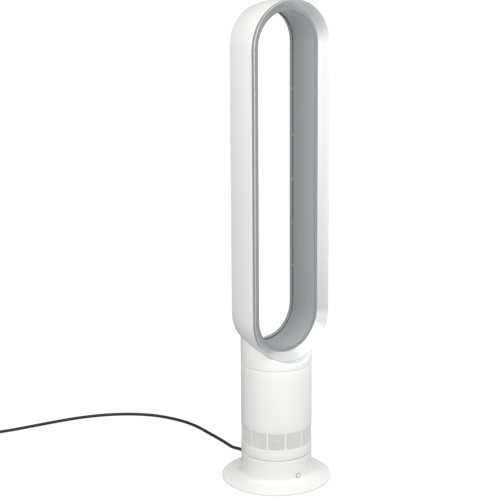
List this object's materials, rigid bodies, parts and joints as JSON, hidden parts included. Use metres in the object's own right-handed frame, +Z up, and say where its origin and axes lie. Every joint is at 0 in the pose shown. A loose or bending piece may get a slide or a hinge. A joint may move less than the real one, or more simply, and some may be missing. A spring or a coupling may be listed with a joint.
{
  "type": "tower fan",
  "caption": "Bladeless tower fan: a tall open air loop on a round swivelling column with a disc base, push button and power cord.",
  "frame": {"origin": "middle of the foot ring where it rests on the floor", "axes": "+Z up the column, -Y the way the air blows, +X to the right seen from behind"},
  "size_m": [0.6245, 0.7335, 1.007],
  "materials": {
    "white_shell": "white moulded plastic, satin sheen",
    "white_button": "white moulded plastic, satin",
    "grey_ring": "grey moulded plastic",
    "silver_bezel": "silver metallic paint on plastic",
    "grey_airfoil": "mid grey metallic plastic",
    "pale_grille": "pale grey perforated sheet",
    "grey_plastic": "plain moulded plastic",
    "dark_plastic": "dark moulded plastic",
    "steel": "zinc plated or plain steel",
    "motor_metal": "motor can",
    "circuit_board": "green board",
    "acetal": "natural acetal",
    "rubber": "soft rubber",
    "foam": "open cell foam",
    "black_cord": "black flexible jacket",
    "brass_pins": "plated brass"
  },
  "bodies": {
    "base": {"ballast_plate": "steel", "base_deck": "grey_plastic", "base_shell": "white_shell", "bottom_cover": "grey_plastic", "bottom_screws": "steel", "button_ring": "grey_ring", "button_spring": "steel", "control_board": "circuit_board", "cord_coil": "black_cord", "cord_tie": "black_cord", "foot_ring": "rubber", "infrared_receiver": "dark_plastic", "lower_race": "steel", "oscillation_motor": "motor_metal", "pivot_spindle": "steel", "plug_body": "black_cord", "plug_pins": "brass_pins", "power_board": "circuit_board", "power_cord": "black_cord", "retaining_clip": "steel", "strain_relief": "black_cord", "tact_switch": "dark_plastic", "thrust_washer": "acetal"},
    "impeller": {"impeller": "dark_plastic", "motor_shaft": "steel"},
    "pinion": {"oscillation_pinion": "dark_plastic", "pinion_shaft": "steel"},
    "ball_ring": {"bearing_balls": "steel", "ball_cage": "grey_plastic"},
    "button": {"power_button": "white_button"},
    "tower": {"turntable": "grey_plastic", "ring_gear": "grey_plastic", "upper_race": "steel", "body_shell": "white_shell", "inlet_grille": "pale_grille", "driver_board": "circuit_board", "rubber_mount": "rubber", "inlet_cone": "grey_plastic", "motor_bucket": "grey_plastic", "silencer_foam": "foam", "fan_motor": "motor_metal", "motor_pod": "grey_plastic", "motor_sleeve": "rubber", "diffuser_vanes": "grey_plastic", "duct_seal": "rubber", "air_duct": "grey_plastic", "neck_housing": "white_shell", "airfoil_left": "grey_airfoil", "airfoil_right": "grey_airfoil", "airfoil_top": "grey_airfoil", "airfoil_bottom": "grey_airfoil", "slot_lip_left": "grey_airfoil", "slot_lip_right": "grey_airfoil", "slot_lip_top": "grey_airfoil", "slot_lip_bottom": "grey_airfoil", "front_bezel": "silver_bezel", "slot_spacers": "grey_airfoil", "loop_screws": "steel", "loop_upper_shell": "white_shell", "loop_lower_shell": "white_shell"}
  },
  "joints": [
    {"name": "oscillation", "type": "hinge", "parent": "base", "child": "tower", "pos_m": [0, 0, 0.06], "axis": [0, 0, 1], "range_deg": [-35, 35]},
    {"name": "ball_travel", "type": "hinge", "parent": "base", "child": "ball_ring", "pos_m": [0, 0, 0.0523], "axis": [0, 0, 1], "range_deg": [-18, 18]},
    {"name": "pinion_spin", "type": "hinge", "parent": "base", "child": "pinion", "pos_m": [0.0315, 0, 0.054], "axis": [0, 0, 1], "range_deg": [-142, 142]},
    {"name": "impeller_spin", "type": "hinge", "parent": "tower", "child": "impeller", "pos_m": [0, 0, 0.145], "axis": [0, 0, 1], "continuous": true},
    {"name": "button_press", "type": "slide", "parent": "base", "child": "button", "axis": [0, 1, 0], "range_m": [0, 0.0012], "stiffness_N_per_m": 250, "springref_m": -0.001, "deforming": ["button_spring"]}
  ],
  "couplings": [
    {"joint": "pinion_spin", "follows": "oscillation", "ratio": 4},
    {"joint": "ball_travel", "follows": "oscillation", "ratio": 0.5}
  ]
}
